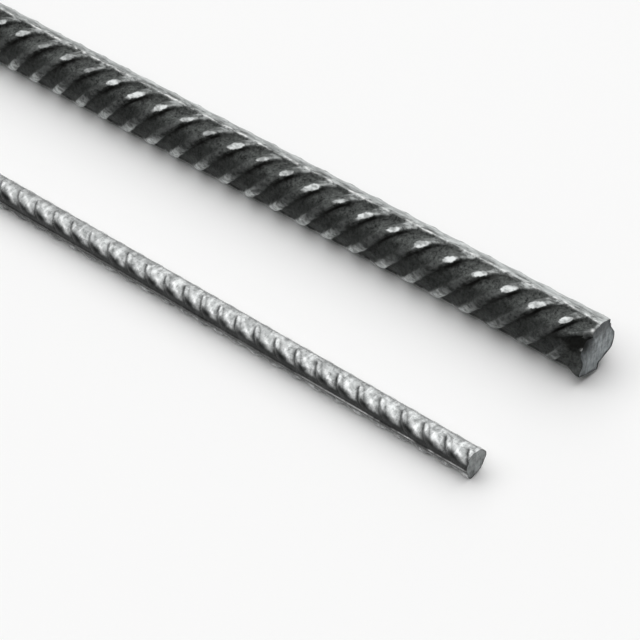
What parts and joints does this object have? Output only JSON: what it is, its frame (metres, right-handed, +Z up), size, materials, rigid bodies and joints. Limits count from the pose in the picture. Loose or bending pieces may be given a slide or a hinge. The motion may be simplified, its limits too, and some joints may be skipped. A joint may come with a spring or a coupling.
{
  "type": "rebar bundle",
  "caption": "Loose straight ribbed steel reinforcing bars, a thick hot-rolled one and a thin one, lying side by side with flush cropped ends, for reinforcing concrete.",
  "frame": {"origin": "on the floor under the middle of the pair's box, half way along the bars and half way across them", "axes": "+X along both bars towards the flush cropped ends, +Y from the thin bar to the thick one, +Z up"},
  "size_m": [1, 0.0488, 0.0131],
  "materials": {
    "mill_scale_steel": "dark hot-rolled mill scale, rib crests worn bright",
    "bright_scale_steel": "smooth grey rolled steel with a low shine"
  },
  "bodies": {
    "root": {"thick_bar": "mill_scale_steel", "thin_bar": "bright_scale_steel"}
  },
  "joints": []
}
